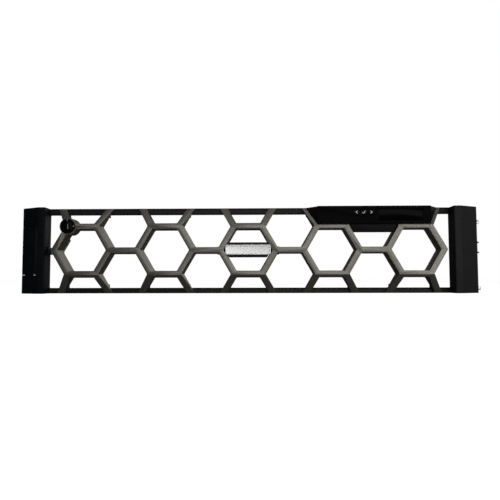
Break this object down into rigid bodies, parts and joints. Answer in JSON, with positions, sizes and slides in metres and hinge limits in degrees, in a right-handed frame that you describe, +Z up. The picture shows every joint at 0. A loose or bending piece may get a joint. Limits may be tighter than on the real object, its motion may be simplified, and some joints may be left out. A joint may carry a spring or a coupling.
{
  "type": "server front bezel",
  "caption": "Two-unit rack server front bezel: open honeycomb grille on black rails, end caps with a sprung release latch and hooks, key lock and small display module.",
  "frame": {"origin": "middle of the box round the part, at its bottom edge", "axes": "+X to the right as seen from the front, along the bezel's width; +Z up; the front faces -Y"},
  "size_m": [0.4502, 0.0286, 0.0834],
  "materials": {
    "grille": "warm grey, fine moulded texture",
    "rail": "black anodised",
    "cap_left": "fine texture, blue-black",
    "cap_right": "fine texture, black",
    "bracket": "black powder coat",
    "screws": "zinc plated",
    "badge_bar": "satin black",
    "badge_plate": "satin",
    "lock_black": "black, half gloss",
    "lock_steel": "nickel plated",
    "button": "fine texture, blue-black",
    "lever": "zinc plated",
    "housing": "fine texture, black",
    "panel": "gloss black",
    "window": "dark tinted",
    "display": "unlit display",
    "board": "solder mask",
    "switch": "plain",
    "keys": "gloss black",
    "flex": "polyimide",
    "contact_block": "plain black",
    "contacts": "gold plated"
  },
  "bodies": {
    "bezel": {"honeycomb_grille": "grille", "top_rail": "rail", "bottom_rail": "rail", "left_end_cap": "cap_left", "right_end_cap": "cap_right", "left_bracket": "bracket", "right_bracket": "bracket", "grille_screws": "screws", "cap_screws": "screws", "rail_screws": "screws", "badge_bar": "badge_bar", "badge_plate": "badge_plate", "badge_screws": "screws", "lock_barrel": "lock_black", "lock_nut": "lock_steel", "latch_springs": "lever", "module_housing": "housing", "module_panel": "panel", "display_window": "window", "display_glass": "display", "display_board": "board", "button_switches": "switch", "module_screws": "screws", "module_mount_screws": "screws", "display_flex": "flex", "hook_plate": "lever", "hook_plate_screws": "screws", "contact_block": "contact_block", "contact_pins": "contacts"},
    "lock_core": {"lock_plug": "lock_black", "lock_cam": "lock_steel", "cam_screw": "screws"},
    "latch": {"release_button": "button", "latch_lever": "lever", "latch_screws": "screws"},
    "key_left": {"nav_button_left": "keys"},
    "key_select": {"nav_button_select": "keys"},
    "key_right": {"nav_button_right": "keys"}
  },
  "joints": [
    {"name": "lock_turn", "type": "hinge", "parent": "bezel", "child": "lock_core", "pos_m": [-0.17331, -0.00575, 0.06479], "axis": [0, -1, 0], "range_deg": [0, 90]},
    {"name": "release_press", "type": "hinge", "parent": "bezel", "child": "latch", "pos_m": [-0.2044, -0.00855, 0.0417], "axis": [0, 0, 1], "range_deg": [-9, 0], "stiffness_Nm_per_rad": 0.4, "springref_deg": 4.58, "deforming": ["latch_springs"]},
    {"name": "key_left_press", "type": "slide", "parent": "bezel", "child": "key_left", "axis": [0, 1, 0], "range_m": [0, 0.0005], "stiffness_N_per_m": 400, "springref_m": -0.0004},
    {"name": "key_select_press", "type": "slide", "parent": "bezel", "child": "key_select", "axis": [0, 1, 0], "range_m": [0, 0.0005], "stiffness_N_per_m": 400, "springref_m": -0.0004},
    {"name": "key_right_press", "type": "slide", "parent": "bezel", "child": "key_right", "axis": [0, 1, 0], "range_m": [0, 0.0005], "stiffness_N_per_m": 400, "springref_m": -0.0004}
  ]
}
